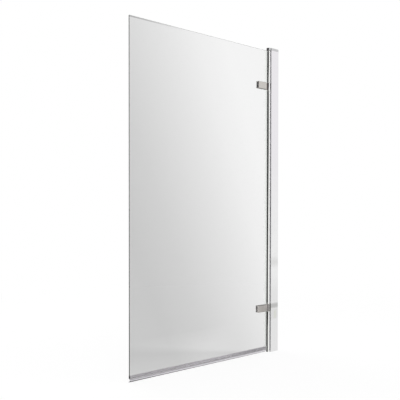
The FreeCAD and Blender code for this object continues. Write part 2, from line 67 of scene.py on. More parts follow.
LOG = logging.getLogger("bath_screen")
MM = 0.001
OPEN = math.inf
SAME_PLACE = 0.05 * MM
SLACK = 0.02 * MM
WELD = 0.002 * MM
FLAT = math.radians(0.5)
HARD = math.radians(35.0)
SHADED_HARD = math.radians(30.0)
STEPS, FINE_STEPS = 2, 3
FULL_TURN = 360.0
WHITE: Colour = (1.0, 1.0, 1.0)
ORIGIN: Place = (0.0, 0.0, 0.0)
ANYWHERE: Span = (-OPEN, OPEN)


class Level(Enum):
    """The two hinges of the screen."""

    LOWER = "lower"
    UPPER = "upper"


class Face(Enum):
    """The two sides of the glass."""

    FRONT = "front"
    BACK = "back"


class Body(Enum):
    """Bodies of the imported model."""

    WALL = "wall_side"
    POST = "post"
    SCREEN = "screen"


# Modelling tools: each picks what it works on by its place.
def activate(piece: Piece) -> None:
    """Select one piece alone and make it active.

    Args:
        piece: Object to work on.
    """
    for item in bpy.context.selected_objects:
        item.select_set(False)
    piece.select_set(True)
    bpy.context.view_layer.objects.active = piece


@contextmanager
def editing(piece: Piece) -> Iterator[None]:
    """Open a piece in edit mode with nothing selected, and leave it in object mode.

    Args:
        piece: Mesh object at the origin, so that its own coordinates are the model's.
    """
    activate(piece)
    bpy.ops.object.mode_set(mode="EDIT")
    bpy.ops.mesh.select_all(action="DESELECT")
    yield
    bpy.ops.object.mode_set(mode="OBJECT")


def near(value: float, place: float) -> bool:
    """Whether a coordinate lies at a place."""
    return abs(value - place) < SAME_PLACE


def edges_at(axis: int, place: float, side: float = 1.0, beyond: float = -OPEN) -> EdgeTest:
    """Make a test for edges that lie at a place along an axis, and far enough to one side.

    Args:
        axis: Number of the axis.
        place: Coordinate of both ends along it.
        side: Side in Y, 1.0 or -1.0.
        beyond: Distance in Y that both ends lie beyond on that side.

    Returns:
        The test, on the places of the two ends.
    """
    return lambda a, b: (near(a[axis], place) and near(b[axis], place)
                         and min(a.y * side, b.y * side) > beyond)


def pick_edges(piece: Piece, wanted: EdgeTest) -> None:
    """Select the edges of a piece in edit mode whose two ends pass a test.

    Args:
        piece: Mesh object in edit mode.
        wanted: Test on the places of the two ends.
    """
    bpy.ops.mesh.select_mode(type="EDGE")
    bpy.ops.mesh.select_all(action="DESELECT")
    shape = bmesh.from_edit_mesh(piece.data)
    for edge in shape.edges:
        if wanted(edge.verts[0].co, edge.verts[1].co):
            edge.select_set(True)
    bmesh.update_edit_mesh(piece.data)


def start(name: str, shape: Callable[..., Any], scale: Sequence[float] = (1.0, 1.0, 1.0),
          **settings: Any) -> Piece:
    """Start a piece from a primitive.

    Args:
        name: Name of the piece and of its mesh.
        shape: Operator that adds the primitive.
        scale: Scale of the primitive along its own axes.
        **settings: Settings of the operator.

    Returns:
        The new mesh object, at the origin.
    """
    shape(**settings)
    piece = bpy.context.active_object
    piece.scale = scale
    activate(piece)
    bpy.ops.object.transform_apply(location=True, rotation=True, scale=True)
    piece.name = piece.data.name = name
    return piece


def start_strip(name: str, centre: Sequence[float], size: Span,
                turn: Place = ORIGIN) -> Piece:
    """Start a piece as one flat rectangle, sized along X and Y before it is turned."""
    return start(name, bpy.ops.mesh.primitive_plane_add, (*size, 1.0), size=1.0,
                 location=centre, rotation=turn)


def push_edges(piece: Piece, wanted: EdgeTest, move: Sequence[float]) -> None:
    """Extrude the edges that pass a test, as when a profile is drawn edge by edge."""
    pick_edges(piece, wanted)
    bpy.ops.mesh.extrude_edges_move(TRANSFORM_OT_translate={"value": tuple(move)})


def draw_legs(piece: Piece, axis: int, inner: float, wall: float, root: float, tip: float,
              lip: float, lean: float = 0.2 * MM) -> None:
    """Add the two legs of a U profile to its web, each with a lip that leans inwards.

    Args:
        piece: The profile in edit mode, with its web drawn between the legs.
        axis: Number of the axis along which the legs run.
        inner: Half the clear width between the legs, in Y.
        wall: Thickness of a leg.
        root: Where the legs start along the axis.
        tip: Where they end.
        lip: Length of the lip, negative where the legs run towards lower values.
        lean: How far the lip leans inwards.
    """
    leg, end = Vector(), Vector()
    leg[axis], end[axis] = tip - lip - root, lip
    for side in (-1.0, 1.0):
        end.y = -side * lean
        push_edges(piece, edges_at(1, side * inner), (0.0, side * wall, 0.0))
        push_edges(piece, edges_at(axis, root, side, inner - SLACK), leg)
        push_edges(piece, edges_at(axis, tip - lip, side, 0.0), end)


def draw_out(move: Sequence[float]) -> None:
    """Extrude the whole flat profile being edited into a closed length.

    Args:
        move: Direction and length.
    """
    bpy.ops.mesh.select_mode(type="FACE")
    bpy.ops.mesh.select_all(action="SELECT")
    bpy.ops.mesh.extrude_region_move(TRANSFORM_OT_translate={"value": tuple(move)})
    bpy.ops.mesh.select_all(action="SELECT")
    bpy.ops.mesh.normals_make_consistent(inside=False)


def apply_modifier(piece: Piece, kind: str, **settings: Any) -> None:
    """Add one modifier, set it up and apply it.

    Args:
        piece: Mesh object that gets it.
        kind: Type of the modifier.
        **settings: Its properties.
    """
    activate(piece)
    modifier = piece.modifiers.new(kind.title(), kind)
    for name, value in settings.items():
        setattr(modifier, name, value)
    bpy.ops.object.modifier_apply(modifier=modifier.name)


def soften(piece: Piece, width: float, steps: int = STEPS) -> None:
    """Round the hard edges of a piece and shade it smooth between them.

    Args:
        piece: Mesh object.
        width: Width of the rounding.
        steps: Number of its steps.
    """
    apply_modifier(piece, "BEVEL", width=width, segments=steps, limit_method="ANGLE",
                   angle_limit=HARD, use_clamp_overlap=True, miter_outer="MITER_ARC")
    bpy.ops.object.shade_smooth_by_angle(angle=SHADED_HARD)


def copy_of(piece: Piece, name: str) -> Piece:
    """Copy a piece into a new object with a mesh of its own.

    Args:
        piece: Object to copy.
        name: Name of the copy and of its mesh.

    Returns:
        The copy.
    """
    twin = bpy.data.objects.new(name, piece.data.copy())
    bpy.context.scene.collection.objects.link(twin)
    twin.data.name = name
    return twin


def shift_ends(piece: Piece, wanted: Callable[[Vector], bool], move: Sequence[float]) -> None:
    """Move the part of a mesh that passes a test, as when a length is trimmed to fit.

    Args:
        piece: Mesh object at the origin.
        wanted: Test on a vertex's place.
        move: How far it moves.
    """
    with editing(piece):
        pick_edges(piece, lambda a, b: wanted(a) and wanted(b))
        bpy.ops.transform.translate(value=tuple(move))


def seat(piece: Piece, body: Body, finish: Material, node: str) -> None:
    """Give a piece its finish and its body, and let it stand for a CAD node.

    Args:
        piece: The finished mesh object.
        body: Body that carries it.
        finish: Its material.
        node: CAD node that it replaces.
    """
    piece.data.materials.clear()
    piece.data.materials.append(finish)
    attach(piece, body.value)
    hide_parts(node)
    LOG.info("%s rides on %s with %d faces", piece.name, body.value, len(piece.data.polygons))


def dress(node: str, name: str, body: Body, finish: Material,
          edge: float, steps: int = STEPS) -> None:
    """Let a copy of a CAD node with rounded edges stand for it.

    Args:
        node: CAD node, whose loose triangles are closed in the copy.
        name: Name of the new piece.
        body: Body that carries it.
        finish: Its material.
        edge: Width of the rounding.
        steps: Number of its steps.
    """
    piece = copy_of(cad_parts[node], name)
    with editing(piece):
        bpy.ops.mesh.select_mode(type="VERT")
        bpy.ops.mesh.select_all(action="SELECT")
        bpy.ops.mesh.remove_doubles(threshold=WELD)
        bpy.ops.mesh.dissolve_limited(angle_limit=FLAT)
        bpy.ops.mesh.select_all(action="SELECT")
        bpy.ops.mesh.normals_make_consistent(inside=False)
    soften(piece, edge, steps)
    seat(piece, body, finish, node)


# Node tools for materials and the world.
def wire(tree: Tree, node: bpy.types.Node, inputs: dict[Any, Any]) -> None:
    """Set or link inputs of a node.

    Args:
        tree: Node tree.
        node: The node.
        inputs: A value or an output socket for each input, by name or number.
    """
    for name, value in inputs.items():
        if isinstance(value, Socket):
            tree.links.new(value, node.inputs[name])
        else:
            node.inputs[name].default_value = value


def add(tree: Tree, kind: str, inputs: dict[Any, Any] | None = None,
        **settings: Any) -> bpy.types.Node:
    """Add a node, set its properties, and set or link its inputs.

    Args:
        tree: Node tree that gets the node.
        kind: Type of the node.
        inputs: Its inputs, as for wire().
        **settings: Properties of the node.

    Returns:
        The new node.
    """
    node = tree.nodes.new(kind)
    for name, value in settings.items():
        setattr(node, name, value)
    wire(tree, node, inputs or {})
    return node


def calc(tree: Tree, operation: str, *values: Any) -> Socket:
    """Add a Math node and return its result."""
    return add(tree, "ShaderNodeMath", dict(enumerate(values)), operation=operation).outputs[0]


def span(tree: Tree, value: Socket, start: float, end: float, to_start: float = 0.0,
         to_end: float = 1.0, smooth: bool = True) -> Socket:
    """Map a value from one span to another, clamped at both ends.

    Args:
        tree: Node tree.
        value: The value to map.
        start: Where the span starts.
        end: Where it ends.
        to_start: Result at the start.
        to_end: Result at the end.
        smooth: Ease in and out at the ends.

    Returns:
        The mapped value.
    """
    inputs = {"Value": value, "From Min": start, "From Max": end,
              "To Min": to_start, "To Max": to_end}
    return add(tree, "ShaderNodeMapRange", inputs,
               interpolation_type="SMOOTHSTEP" if smooth else "LINEAR").outputs["Result"]


def blend(tree: Tree, share: Any, first: Any, second: Any, kind: str = "MIX") -> Socket:
    """Mix two colours by a share of the second.

    Args:
        tree: Node tree.
        share: Share of the second colour.
        first: First colour, given or linked.
        second: Second colour, given or linked.
        kind: How the second acts on the first.

    Returns:
        The mixed colour.
    """
    colours = (value if isinstance(value, Socket) else (*value, 1.0)
               for value in (first, second))
    return add(tree, "ShaderNodeMix", dict(zip((0, 6, 7), (share, *colours))),
               data_type="RGBA", blend_type=kind).outputs[2]


def mix(tree: Tree, share: Any, first: Any, second: Any) -> Socket:
    """Mix two values by a share of the second."""
    return add(tree, "ShaderNodeMix", {0: share, 2: first, 3: second},
               data_type="FLOAT").outputs[0]


def noise(tree: Tree, place: Socket, scale: Any, **inputs: float) -> Socket:
    """Add a Noise texture with further inputs by name, and return its value."""
    return add(tree, "ShaderNodeTexNoise",
               {"Vector": place, "Scale": scale, **inputs}).outputs[0]


def ramp(tree: Tree, value: Socket, stops: Sequence[tuple[float, Colour]],
         smooth: bool = False) -> Socket:
    """Turn a value from 0 to 1 into a colour by its stops.

    Args:
        tree: Node tree.
        value: The value.
        stops: Place and colour of each stop, in order.
        smooth: Ease in and out at the stops.

    Returns:
        The colour.
    """
    node = add(tree, "ShaderNodeValToRGB", {"Fac": value})
    band = node.color_ramp
    band.interpolation = "EASE" if smooth else "LINEAR"
    while len(band.elements) < len(stops):
        band.elements.new(0.5)
    for element, (place, colour) in zip(band.elements, stops):
        element.position = place
        element.color = (*colour, 1.0)
    return node.outputs["Color"]


def ray_kinds(tree: Tree) -> tuple[Socket, Socket]:
    """Tell apart rays that look straight at a backdrop and rays that a mirror sent there.

    Args:
        tree: Node tree of the backdrop.

    Returns:
        Whether the ray came from the camera, also through glass, and whether it was
        mirrored on its way.
    """
    path = tree.nodes.new("ShaderNodeLightPath").outputs
    mirrored = calc(tree, "MULTIPLY", calc(tree, "MINIMUM", path["Glossy Depth"], 1.0),
                    calc(tree, "MAXIMUM", path["Is Glossy Ray"], path["Is Transmission Ray"]))
    straight = calc(tree, "SUBTRACT", path["Is Transmission Ray"], mirrored)
    return calc(tree, "MAXIMUM", path["Is Camera Ray"], straight), mirrored


def parts_of(tree: Tree, vector: Socket) -> list[Socket]:
    """Split a vector into its three parts."""
    return list(add(tree, "ShaderNodeSeparateXYZ", {"Vector": vector}).outputs)


# Effects shared by several finishes, with the spans over which their masks rise or fall.
LINES: Span = (0.3, 0.7)
MARKS: Span = (0.42, 0.68)
RING_INSIDE: Span = (0.10, 0.17)
RING_OUTSIDE: Span = (0.17, 0.22)
CLUSTERS: Span = (0.5, 0.66)
UPWARD: Span = (0.55, 0.95)
SPECKS: Span = (0.35, 0.75)


def drawn_grain(tree: Tree, given: Any) -> Socket:
    """Draw the fine lines that a die leaves along an extrusion, or a brush on a casting."""
    stretched = add(tree, "ShaderNodeVectorMath", {0: given["Vector"], 1: given["Stretch"]},
                    operation="MULTIPLY").outputs[0]
    return span(tree, noise(tree, stretched, scale=1.0, Detail=3.0, Roughness=0.6), *LINES)


def handling_marks(tree: Tree, given: Any) -> Socket:
    """Draw broad soft patches where a surface was wiped or held."""
    return span(tree, noise(tree, given["Vector"], given["Scale"], Detail=4.0,
                            Roughness=0.55, Distortion=0.6), *MARKS)


def dried_drops(tree: Tree, given: Any) -> Socket:
    """Draw small rings of lime where drops of water dried, in loose clusters.

    Args:
        tree: Node tree of the group.
        given: Its inputs.

    Returns:
        The mask of the rings.
    """
    cells = add(tree, "ShaderNodeTexVoronoi",
                {"Vector": given["Vector"], "Scale": given["Scale"],
                 "Randomness": 1.0}).outputs["Distance"]
    ring = calc(tree, "MULTIPLY", span(tree, cells, *RING_INSIDE),
                span(tree, cells, *RING_OUTSIDE, 1.0, 0.0))
    cluster = noise(tree, given["Vector"], scale=7.0, Detail=2.0)
    return calc(tree, "MULTIPLY", ring, span(tree, cluster, *CLUSTERS))


def settled_dust(tree: Tree, given: Any) -> Socket:
    """Draw thin dust on surfaces that face up, broken by noise.

    Args:
        tree: Node tree of the group.
        given: Its inputs.

    Returns:
        The mask of the dust.
    """
    upward = span(tree, parts_of(tree, given["Normal"])[2], *UPWARD)
    specks = noise(tree, given["Vector"], scale=260.0, Detail=3.0, Roughness=0.7)
    return calc(tree, "MULTIPLY", upward, span(tree, specks, *SPECKS))


def studio_surround(tree: Tree, given: Any) -> Socket:
    """Work out how bright the studio is as metal and glass see it, by direction.

    The studio is white, apart from one dark flag to the left, behind the free edge of
    the panel. The flag leans, so its edges move with the height.

    Args:
        tree: Node tree of the group.
        given: Its inputs.

    Returns:
        The brightness, as a grey.
    """
    unit = add(tree, "ShaderNodeVectorMath", {0: given["Direction"]}, operation="NORMALIZE")
    east, north, up = parts_of(tree, unit.outputs[0])
    azimuth = calc(tree, "ARCTAN2", north, east)
    height = calc(tree, "MINIMUM", calc(tree, "MAXIMUM", up, -Studio.lean_span),
                  Studio.lean_span)
    leaning = calc(tree, "MULTIPLY_ADD", height, -Studio.lean, azimuth)
    turn = calc(tree, "FRACT", calc(tree, "MULTIPLY", leaning, 1.0 / math.tau))
    return ramp(tree, turn, [(degrees / FULL_TURN, (level,) * 3)
                             for degrees, level in Studio.levels])


SOCKETS = {float: "NodeSocketFloat", tuple: "NodeSocketVector"}


class Effect(Enum):
    """Shared effects, each built once as a node group: its drawing and its inputs."""

    DRAWN_GRAIN = (drawn_grain, {"Vector": ORIGIN, "Stretch": (1.0, 1.0, 1.0)})
    HANDLING = (handling_marks, {"Vector": ORIGIN, "Scale": 18.0})
    DRIED_DROPS = (dried_drops, {"Vector": ORIGIN, "Scale": 90.0})
    DUST = (settled_dust, {"Vector": ORIGIN, "Normal": ORIGIN})
    SURROUND = (studio_surround, {"Direction": ORIGIN})


def effect(tree: Tree, kind: Effect, inputs: dict[str, Any]) -> Socket:
    """Place a shared effect in a material, and build its group the first time.

    Args:
        tree: Node tree of the material.
        kind: The effect.
        inputs: The inputs that it gets, as for wire().

    Returns:
        Its mask, or its brightness.
    """
    group = bpy.data.node_groups.get(kind.name)
    if group is None:
        draw, defaults = kind.value
        group = bpy.data.node_groups.new(kind.name, "ShaderNodeTree")
        for name, default in defaults.items():
            socket = group.interface.new_socket(name, in_out="INPUT",
                                                socket_type=SOCKETS[type(default)])
            socket.default_value = default
        group.interface.new_socket("Result", in_out="OUTPUT", socket_type="NodeSocketColor"
                                   if kind is Effect.SURROUND else "NodeSocketFloat")
        drawn = draw(group, group.nodes.new("NodeGroupInput").outputs)
        wire(group, group.nodes.new("NodeGroupOutput"), {"Result": drawn})
    return add(tree, "ShaderNodeGroup", inputs, node_tree=group).outputs[0]


def new_material(name: str) -> tuple[Material, Tree, bpy.types.Node, Socket, Socket]:
    """Start a material with its shader and coordinates.

    Args:
        name: Name of the material.

    Returns:
        The material, its node tree, its Principled node, and the Object and Normal
        outputs of its coordinates.
    """
    material = bpy.data.materials.new(name)
    material.use_nodes = True
    tree = material.node_tree
    coordinates = tree.nodes.new("ShaderNodeTexCoord").outputs
    return (material, tree, tree.nodes["Principled BSDF"], coordinates["Object"],
            coordinates["Normal"])


@dataclass(frozen=True)
class Patch:
    """Part of a surface with a tone of its own, mostly painted light or shade: a box with soft
    sides, in millimetres.
    """

    colour: Colour
    metallic: float
    roughness: float
    x: Span = ANYWHERE
    y: Span = ANYWHERE
    z: Span = ANYWHERE
    fade: Place = (0.3, 0.3, 0.3)

    def mask(self, tree: Tree, place: Socket) -> Socket:
        """Build the mask of the patch.

        Args:
            tree: Node tree of the material.
            place: Object coordinates.

        Returns:
            Share of the patch at a place.
        """
        share: Any = 1.0
        for part, (low, high), fade in zip(parts_of(tree, place), (self.x, self.y, self.z),
                                           self.fade):
            for limit, before, after in ((low, 0.0, 1.0), (high, 1.0, 0.0)):
                if math.isfinite(limit):
                    side = span(tree, part, (limit - fade) * MM, (limit + fade) * MM,
                                before, after)
                    share = calc(tree, "MULTIPLY", share, side)
        return share


@dataclass(frozen=True)
class MetalFinish:
    """A bright or satin metal with lines, handling marks, dried drops and dust, and painted
    shade on the faces that face the free edge where a tone for them is given.
    """

    name: str
    colour: Colour
    dull: Colour
    roughness: float
    spread: float
    stretch: Place
    depth: float
    lime: float
    # Painted shade on the faces that face the free edge, towards -X.
    shaded_returns: Colour | None = None
    facing_free: Span = (-0.9, -0.97)
    lined: float = 0.35
    worn: float = 0.5
    dusty: float = 0.25
    dust: Colour = (0.62, 0.61, 0.58)
    relief: float = 0.35

    def material(self, patches: Sequence[Patch] = ()) -> Material:
        """Build the material.

        Args:
            patches: Parts of the surface with a tone of their own: painted light and shade.

        Returns:
            The new material.
        """
        material, tree, shader, place, normal = new_material(self.name)
        lines = effect(tree, Effect.DRAWN_GRAIN, {"Vector": place, "Stretch": self.stretch})
        marks = effect(tree, Effect.HANDLING, {"Vector": place})
        rings = effect(tree, Effect.DRIED_DROPS, {"Vector": place})
        dust = effect(tree, Effect.DUST, {"Vector": place, "Normal": normal})
        tone: Any = self.colour
        for mask, share, colour in ((lines, self.lined, self.dull),
                                    (marks, self.worn, self.dull),
                                    (dust, self.dusty, self.dust)):
            tone = blend(tree, calc(tree, "MULTIPLY", mask, share), tone, colour)
        rough: Any = self.roughness
        for mask, share in ((lines, self.spread), (marks, self.spread), (rings, self.lime),
                            (dust, self.dusty)):
            rough = calc(tree, "MULTIPLY_ADD", mask, share, rough)
        # Painted shade: faces that face the free edge take the darker tone.
        if self.shaded_returns is not None:
            away = span(tree, parts_of(tree, normal)[0], *self.facing_free)
            tone = blend(tree, away, tone, self.shaded_returns)
        metallic: Any = 1.0
        for patch in patches:
            share = patch.mask(tree, place)
            tone = blend(tree, share, tone, patch.colour)
            rough = mix(tree, share, rough, patch.roughness)
            metallic = mix(tree, share, metallic, patch.metallic)
        bump = add(tree, "ShaderNodeBump", {"Height": lines, "Strength": self.relief,
                                            "Distance": self.depth})
        wire(tree, shader, {"Base Color": tone, "Metallic": metallic, "Roughness": rough,
                            "Normal": bump.outputs[0]})
        return material


@dataclass(frozen=True)
class PlasticFinish:
    """An opaque moulded or sheet material with a fine texture."""

    name: str
    colour: Colour
    second: Colour
    roughness: float
    grain: float
    depth: float
    mark_size: float = 40.0
    marked: float = 0.6
    dusty: float = 0.3
    dust: Colour = (0.6, 0.59, 0.56)
    spread: float = 0.15
    relief: float = 0.4

    def material(self, patches: Sequence[Patch] = ()) -> Material:
        """Build the material.

        Args:
            patches: Parts of the surface with painted light of their own.

        Returns:
            The new material.
        """
        material, tree, shader, place, normal = new_material(self.name)
        grain = noise(tree, place, self.grain, Detail=4.0, Roughness=0.6)
        marks = effect(tree, Effect.HANDLING, {"Vector": place, "Scale": self.mark_size})
        dust = effect(tree, Effect.DUST, {"Vector": place, "Normal": normal})
        tone = blend(tree, calc(tree, "MULTIPLY", marks, self.marked), self.colour,
                     self.second)
        tone = blend(tree, calc(tree, "MULTIPLY", dust, self.dusty), tone, self.dust)
        for patch in patches:
            tone = blend(tree, patch.mask(tree, place), tone, patch.colour)
        rough = calc(tree, "MULTIPLY_ADD", grain, self.spread, self.roughness)
        bump = add(tree, "ShaderNodeBump", {"Height": grain, "Strength": self.relief,
                                            "Distance": self.depth})
        wire(tree, shader, {"Base Color": tone, "Roughness": rough,
                            "Normal": bump.outputs[0]})
        return material


@dataclass(frozen=True)
class GlassFinish:
    """Clear toughened glass with a painted grey shade that thins towards the top of the post.

    The shade and the edge tints are painted light and shade, by place and by which way a
    surface faces; the side edges also keep the green of the glass's edge. Below the top edge
    lies a band of painted shade that fades towards the post, and the painted shade is lighter
    near the foot, where the panel mirrors the dark flag.
    """

    name: str = "clear glass"
    lean: Span = (0.561, 0.439)
    # Painted grey shade by place, as a ramp of tints.
    painted_shade: tuple[Span, ...] = ((0.185, 0.560), (0.3205, 0.622), (0.677, 0.857),
                              (0.805, 0.908))
    # Edge tints: painted shade; the side one also keeps the green of the glass's edge.
    side_edge_shade: Colour = (0.30, 0.34, 0.31)
    top_edge_shade: Colour = (0.06, 0.07, 0.065)
    bottom_edge_shade: Colour = (0.50, 0.50, 0.50)
    clear_edge: Colour = (0.99, 1.0, 0.985)
    edge_fade: Span = (0.10, 0.42)
    facing: Span = (0.4, 0.9)
    # Band of painted shade below the top edge, fading towards the post.
    band: Span = (1.7 * MM, 5.0 * MM)
    band_soft: float = 0.3 * MM
    band_shade: float = 0.50
    band_fade: Span = (0.02, 0.36)
    # Painted light: the shade is lifted near the foot, fading towards the post.
    foot: float = 0.22
    foot_height: Span = (0.02, 0.16)
    foot_fade: Span = (0.46, 0.80)
    lime: Colour = (0.80, 0.80, 0.79)
    lime_size: float = 60.0
    limed: float = 0.02
    ground: float = 0.6
    ground_from: Span = (0.4, 0.6)
    ground_to: Span = (0.8, 0.95)
    bending: float = 1.52

    def material(self, low: Vector, high: Vector) -> Material:
        """Build the material.

        Args:
            low: Lowest corner of the panel.
            high: Highest corner of the panel.

        Returns:
            The new material.
        """
        material, tree, shader, place, normal = new_material(self.name)
        across, _, up = parts_of(tree, place)
        width = span(tree, across, low.x, high.x, smooth=False)
        height = span(tree, up, 0.0, high.z, smooth=False)
        share = calc(tree, "MULTIPLY_ADD", width, self.lean[0],
                     calc(tree, "MULTIPLY", height, self.lean[1]))
        # Painted shade, darker towards the free edge and the foot.
        painted_shade = ramp(tree, share, [(stop, (tone,) * 3) for stop, tone in self.painted_shade])
        rings = effect(tree, Effect.DRIED_DROPS, {"Vector": place, "Scale": self.lime_size})
        tint = blend(tree, calc(tree, "MULTIPLY", rings, self.limed), painted_shade, self.lime)
        # Band of painted shade below the top edge, fading towards the post.
        upper, lower = (high.z - depth for depth in self.band)
        below = span(tree, up, upper + self.band_soft, upper - self.band_soft)
        above = span(tree, up, lower - self.band_soft, lower + self.band_soft)
        left = span(tree, width, *self.band_fade, 1.0, 0.0, False)
        painted_band = calc(tree, "MULTIPLY", calc(tree, "MULTIPLY", below, above), left)
        # Painted light near the foot, fading towards the post.
        painted_lift = calc(tree, "MULTIPLY", span(tree, up, *self.foot_height, self.foot, 0.0, False),
                    span(tree, width, *self.foot_fade, 1.0, 0.0))
        shade = calc(tree, "MULTIPLY", mix(tree, painted_band, 1.0, self.band_shade),
                     calc(tree, "ADD", painted_lift, 1.0))
        tint = blend(tree, 1.0, tint, shade, "MULTIPLY")
        # Painted shade on the edges, by the way each faces.
        east, _, rise = parts_of(tree, normal)
        fading = span(tree, width, *self.edge_fade)
        top = blend(tree, fading, self.top_edge_shade, self.clear_edge)
        side = blend(tree, fading, self.side_edge_shade, self.clear_edge)
        tint = blend(tree, span(tree, rise, *self.facing), tint, top)
        downward = span(tree, rise, -self.facing[0], -self.facing[1])
        tint = blend(tree, downward, tint, self.bottom_edge_shade)
        sideways = span(tree, calc(tree, "ABSOLUTE", east), *self.facing)
        steep = calc(tree, "ABSOLUTE", rise)
        arris = calc(tree, "MULTIPLY", span(tree, steep, *self.ground_from),
                     span(tree, steep, *self.ground_to, self.ground, 0.0))
        wire(tree, shader, {"Base Color": blend(tree, sideways, tint, side),
                            "Roughness": calc(tree, "MULTIPLY_ADD", rings, self.limed, arris),
                            "IOR": self.bending, "Transmission Weight": 1.0})
        return material


@dataclass(frozen=True)
class VinylFinish:
    """Clear flexible extrusion, tinted from its free lip to where it grips the glass; the tints
    are partly painted shade, in dark bands on the bottom seal.
    """

    name: str
    tints_and_shade: tuple[Colour, ...]
    roughness: float
    bending: float
    haze: Colour = (0.9, 0.9, 0.9)
    haze_size: float = 60.0
    hazy: float = 0.12

    def material(self, along: int, places: Sequence[float],
                 patches: Sequence[Patch] = ()) -> Material:
        """Build the material.

        Args:
            along: Axis that runs from the free lip to the grip.
            places: Place along it of each tint.
            patches: Parts of the seal with painted shade of their own.

        Returns:
            The new material.
        """
        material, tree, shader, place, _ = new_material(self.name)
        start, length = places[0], places[-1] - places[0]
        share = span(tree, parts_of(tree, place)[along], start, places[-1], smooth=False)
        tone = ramp(tree, share, [((at - start) / length, tint)
                                  for at, tint in zip(places, self.tints_and_shade)], True)
        for patch in patches:
            tone = blend(tree, patch.mask(tree, place), tone, patch.colour)
        marks = effect(tree, Effect.HANDLING, {"Vector": place, "Scale": self.haze_size})
        tone = blend(tree, calc(tree, "MULTIPLY", marks, self.hazy), tone, self.haze)
        rough = calc(tree, "MULTIPLY_ADD", marks, self.hazy, self.roughness)
        wire(tree, shader, {"Base Color": tone, "Roughness": rough, "IOR": self.bending,
                            "Transmission Weight": 1.0})
        return material


# The last tone of the polished profile is painted shade on faces that face the free edge.
POLISHED_PROFILE = MetalFinish("polished profile", (0.92, 0.92, 0.92), (0.85, 0.85, 0.85),
                               0.07, 0.04, (1400.0, 1400.0, 1.5), 0.00001, 0.10,
                               (0.42, 0.42, 0.43))
POST_PROFILE = replace(POLISHED_PROFILE, name="post profile", colour=(0.915, 0.92, 0.89),
                       dull=(0.845, 0.85, 0.82))
PLATED_CAP = MetalFinish("plated cap", (0.64, 0.64, 0.65), (0.60, 0.60, 0.61),
                         0.10, 0.05, (500.0, 500.0, 500.0), 0.00001, 0.10)
SATIN_NICKEL = MetalFinish("satin nickel", (0.66, 0.63, 0.60), (0.56, 0.54, 0.51),
                           0.26, 0.08, (60.0, 900.0, 900.0), 0.00003, 0.08)
# A darker copy of satin nickel for the lower hinge: painted shade, with more dried lime.
SPLASHED_AND_SHADED_NICKEL = MetalFinish("splashed and shaded satin nickel", (0.50, 0.475, 0.455),
                              (0.40, 0.385, 0.365), 0.28, 0.10, (60.0, 900.0, 900.0),
                              0.00003, 0.14)
STAINLESS = MetalFinish("stainless steel", (0.70, 0.70, 0.69), (0.60, 0.60, 0.60),
                        0.22, 0.06, (900.0, 900.0, 900.0), 0.00002, 0.08)
NYLON = PlasticFinish("natural nylon", (0.86, 0.86, 0.82), (0.80, 0.79, 0.74),
                      0.42, 900.0, 0.00003)
GASKET_RUBBER = PlasticFinish("black rubber", (0.045, 0.045, 0.047), (0.07, 0.07, 0.07),
                              0.62, 1500.0, 0.00005)
SIDE_VINYL = VinylFinish("clear side seal", ((0.992, 1.0, 0.990), (0.95, 0.96, 0.95)),
                         0.04, 1.06)
# The bottom seal's tints are painted shade, darkest in bands by height.
BOTTOM_VINYL = VinylFinish("clear bottom seal",
                           ((0.73, 0.71, 0.74), (0.75, 0.73, 0.76), (0.66, 0.645, 0.67),
                            (0.66, 0.645, 0.67), (0.37, 0.355, 0.38), (0.37, 0.355, 0.38),
                            (0.88, 0.865, 0.885), (0.80, 0.785, 0.805), (1.0, 1.0, 1.0)),
                           0.10, 1.20)

# Tones seen only on parts of a surface, by their place in the model: painted light, shade
# and reflections, apart from the polished knuckle of the upper hinge.
PLATE_END, PLATE_TIP, PLATE_ROOT, KNUCKLE, NOSE = -124.2, -124.8, -74.0, -61.0, -53.0
CHANNEL_FACE: Span = (-OPEN, -0.5)
SHADED_FRONT: Span = (-OPEN, 0.0)
NOSE_FRONT: Span = (-OPEN, -3.0)
BACK_PLATE: Span = (3.5, OPEN)
SOFT: Place = (1.0, 1.0, 1.0)
# Painted highlight on the front of the round nose.
NOSE_PAINTED_LIGHT: Colour = (0.80, 0.79, 0.81)
# Painted light on the end of the upper back plate and of its gasket.
PLATE_END_PAINTED_LIGHT: Colour = (0.80, 0.80, 0.79)
# Painted reflection on the channel's face: a darker mark.
PAINTED_REFLECTION_TONE: Colour = (0.77, 0.77, 0.765)
UPPER_KNUCKLE_AND_PAINTED_LIGHT = (
    Patch(POLISHED_PROFILE.colour, 1.0, 0.09, x=(KNUCKLE, OPEN), fade=SOFT),
    # Painted shadow in the recess between the neck and the knuckle.
    Patch((0.12, 0.10, 0.10), 1.0, 0.35, x=(-65.8, -56.6), y=SHADED_FRONT, fade=SOFT),
    # Painted highlight on the casting in front of the nose.
    Patch(NOSE_PAINTED_LIGHT, 0.0, 0.4, x=(NOSE, OPEN), y=NOSE_FRONT),
    # Painted light on the end of the back plate.
    Patch(PLATE_END_PAINTED_LIGHT, 0.0, 0.5, x=(-OPEN, PLATE_END), y=BACK_PLATE),
    # Painted shade on the underside of the front plate.
    Patch((0.26, 0.25, 0.24), 1.0, 0.3, x=(-OPEN, PLATE_ROOT), y=SHADED_FRONT,
          z=(-OPEN, 1208.0)),
    # Painted shade on the end of the front plate.
    Patch((0.05, 0.045, 0.045), 0.0, 0.5, x=(-OPEN, PLATE_TIP), y=SHADED_FRONT))
